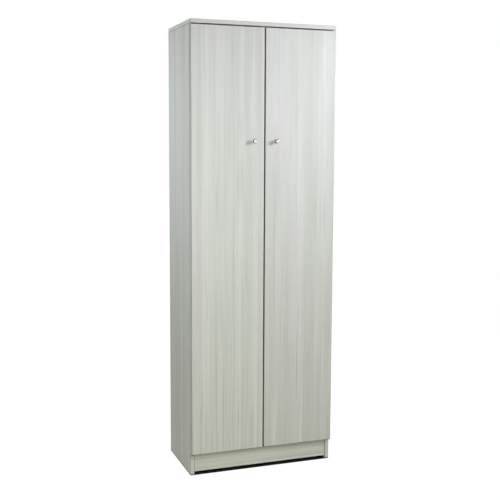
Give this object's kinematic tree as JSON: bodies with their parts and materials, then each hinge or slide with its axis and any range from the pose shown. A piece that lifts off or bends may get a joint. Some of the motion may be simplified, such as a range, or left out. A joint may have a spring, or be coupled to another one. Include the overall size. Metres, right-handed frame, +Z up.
{
  "type": "broom cupboard",
  "caption": "Tall narrow flat-pack broom cupboard with hinged overlay doors, small round knobs, a tall broom bay and a shelved bay, standing on its side panels.",
  "frame": {"origin": "on the floor, below the middle of the whole box, knobs included", "axes": "+X to the right seen from the front, +Y to the back, +Z up"},
  "size_m": [0.608, 0.356, 1.8],
  "materials": {
    "melamine": "pale grey-green wood-grain melamine, satin",
    "back_board": "thin hardboard, printed pale face",
    "chrome": "polished chrome",
    "hinge_steel": "nickel-plated pressed steel",
    "fastener_steel": "zinc-plated steel",
    "zinc": "die-cast zinc",
    "dowel_wood": "beech, fluted",
    "peg_plastic": "moulded plastic",
    "catch_plastic": "moulded plastic",
    "magnet": "sintered magnet between steel poles",
    "bumper": "soft clear pad"
  },
  "bodies": {
    "carcass": {"back_nails": "fastener_steel", "back_panel_left": "back_board", "back_panel_right": "back_board", "bottom_panel": "melamine", "broom_bay_shelf": "melamine", "cam_bolts": "zinc", "cam_locks": "zinc", "catch_magnets": "magnet", "catch_screws": "fastener_steel", "dowels": "dowel_wood", "left_catch": "catch_plastic", "left_hinge_arm_high": "hinge_steel", "left_hinge_arm_low": "hinge_steel", "left_hinge_arm_middle": "hinge_steel", "left_hinge_plate_high": "hinge_steel", "left_hinge_plate_low": "hinge_steel", "left_hinge_plate_middle": "hinge_steel", "left_hinge_plate_screws": "fastener_steel", "left_side_panel": "melamine", "partition": "melamine", "plinth": "melamine", "right_catch": "catch_plastic", "right_hinge_arm_high": "hinge_steel", "right_hinge_arm_low": "hinge_steel", "right_hinge_arm_middle": "hinge_steel", "right_hinge_plate_high": "hinge_steel", "right_hinge_plate_low": "hinge_steel", "right_hinge_plate_middle": "hinge_steel", "right_hinge_plate_screws": "fastener_steel", "right_side_panel": "melamine", "shelf_1": "melamine", "shelf_2": "melamine", "shelf_3": "melamine", "shelf_4": "melamine", "shelf_pegs": "peg_plastic", "top_panel": "melamine", "wall_bracket_left": "fastener_steel", "wall_bracket_right": "fastener_steel", "wall_bracket_screws": "fastener_steel"},
    "left_door": {"left_door": "melamine", "left_door_bumpers": "bumper", "left_door_screws": "fastener_steel", "left_hinge_cup_high": "hinge_steel", "left_hinge_cup_low": "hinge_steel", "left_hinge_cup_middle": "hinge_steel", "left_hinge_pins": "hinge_steel", "left_knob": "chrome", "left_knob_screw": "fastener_steel", "left_strike_plate": "fastener_steel"},
    "right_door": {"right_door": "melamine", "right_door_bumpers": "bumper", "right_door_screws": "fastener_steel", "right_hinge_cup_high": "hinge_steel", "right_hinge_cup_low": "hinge_steel", "right_hinge_cup_middle": "hinge_steel", "right_hinge_pins": "hinge_steel", "right_knob": "chrome", "right_knob_screw": "fastener_steel", "right_strike_plate": "fastener_steel"}
  },
  "joints": [
    {"name": "left_door_swing", "type": "hinge", "parent": "carcass", "child": "left_door", "pos_m": [-0.2962, -0.1466, 0.9345], "axis": [0, 0, -1], "range_deg": [0, 95]},
    {"name": "right_door_swing", "type": "hinge", "parent": "carcass", "child": "right_door", "pos_m": [0.2962, -0.1466, 0.9345], "axis": [0, 0, 1], "range_deg": [0, 95]}
  ]
}
